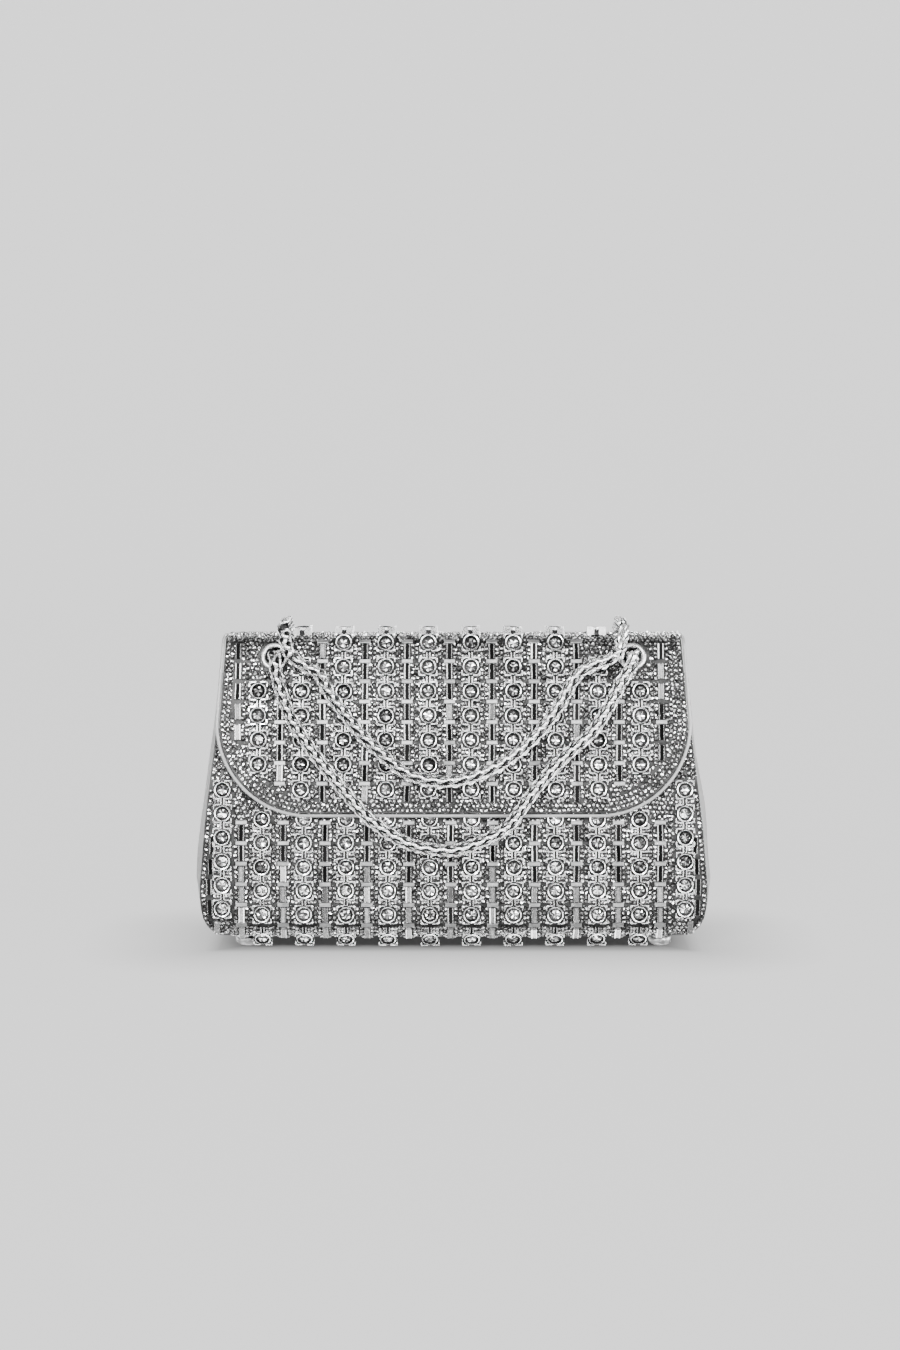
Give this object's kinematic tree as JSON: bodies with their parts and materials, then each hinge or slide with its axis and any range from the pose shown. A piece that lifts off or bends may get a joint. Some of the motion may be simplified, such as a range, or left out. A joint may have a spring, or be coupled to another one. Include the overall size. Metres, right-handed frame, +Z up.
{
  "type": "rhinestone evening bag",
  "caption": "Small evening bag covered with set stones, with a curved front flap, bulging side gussets, eyelets, domed feet and a doubled metal chain strap.",
  "frame": {"origin": "middle of the footprint, on the surface that the feet stand on", "axes": "+X along the width to the viewer's right, +Y from the front to the back, +Z up"},
  "size_m": [0.2166, 0.075, 0.1366],
  "materials": {
    "silver_leather": "satin",
    "crystal": "gloss",
    "polished_metal": "polished",
    "plain_metal": "satin",
    "lining": "matte",
    "board": "matte"
  },
  "bodies": {
    "root": {"front_panel": "silver_leather", "back_panel": "silver_leather", "base_panel": "silver_leather", "gusset_left": "silver_leather", "gusset_right": "silver_leather", "mouth_binding": "silver_leather", "seam_welt": "silver_leather", "front_crystal_sheet": "crystal", "back_crystal_sheet": "crystal", "base_board": "board", "lining_pouch": "lining", "slip_pocket": "lining", "body_magnet": "plain_metal", "foot_front_left": "polished_metal", "foot_front_right": "polished_metal", "foot_back_left": "polished_metal", "foot_back_right": "polished_metal", "foot_washer_front_left": "plain_metal", "foot_washer_front_right": "plain_metal", "foot_washer_back_left": "plain_metal", "foot_washer_back_right": "plain_metal"},
    "flap": {"flap_board": "board", "flap_crystal_sheet": "crystal", "flap_lining": "lining", "flap_piping": "silver_leather", "flap_magnet": "plain_metal", "eyelet_front_left": "polished_metal", "eyelet_front_right": "polished_metal", "eyelet_back_left": "polished_metal", "eyelet_back_right": "polished_metal", "eyelet_washer_front_left": "plain_metal", "eyelet_washer_front_right": "plain_metal", "eyelet_washer_back_left": "plain_metal", "eyelet_washer_back_right": "plain_metal", "chain_run_left": "polished_metal", "chain_run_right": "polished_metal"},
    "strap_front": {"strap_front": "polished_metal"},
    "strap_rear": {"strap_rear": "polished_metal"}
  },
  "joints": [
    {"name": "flap_hinge", "type": "hinge", "parent": "root", "child": "flap", "pos_m": [0, 0.02003, 0.105], "axis": [-1, 0, 0], "range_deg": [0, 110]},
    {"name": "strap_front_swing", "type": "hinge", "parent": "flap", "child": "strap_front", "pos_m": [0, -0.01593, 0.12351], "axis": [-1, 0, 0], "range_deg": [0, 140]},
    {"name": "strap_rear_swing", "type": "hinge", "parent": "flap", "child": "strap_rear", "pos_m": [0, -0.00791, 0.13248], "axis": [-1, 0, 0], "range_deg": [0, 160]}
  ]
}
